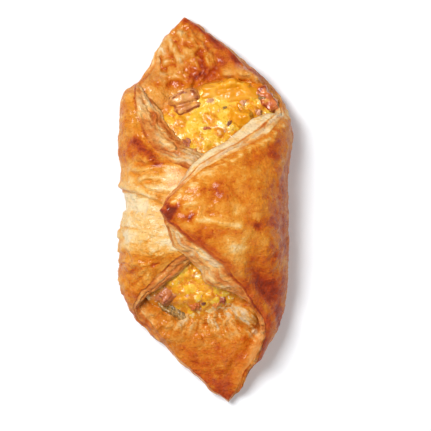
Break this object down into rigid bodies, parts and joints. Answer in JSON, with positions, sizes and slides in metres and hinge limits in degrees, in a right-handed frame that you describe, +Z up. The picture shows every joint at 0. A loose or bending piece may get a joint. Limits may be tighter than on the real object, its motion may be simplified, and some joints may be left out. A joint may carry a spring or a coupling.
{
  "type": "folded savoury breakfast pastry",
  "caption": "Folded croissant-dough parcel with overlapping flaps and open pointed tips, filled with scrambled egg, melted cheese and ham that show in a mouth at each end.",
  "frame": {"origin": "middle of the underside", "axes": "+Z up, +Y along the pastry towards its far tip, +X towards the flap that lies on top"},
  "size_m": [0.0724, 0.1594, 0.0403],
  "materials": {
    "crust": "egg-washed baked crust",
    "egg": "moist",
    "ham": "moist, browned",
    "cheese": "melted",
    "leek": "moist"
  },
  "bodies": {
    "root": {"dough": "crust", "filling": "egg", "ham_far_left": "ham", "ham_far_right": "ham", "cheese_far": "cheese", "cheese_middle": "cheese", "ham_near_left": "ham", "leek_near": "leek"}
  },
  "joints": []
}
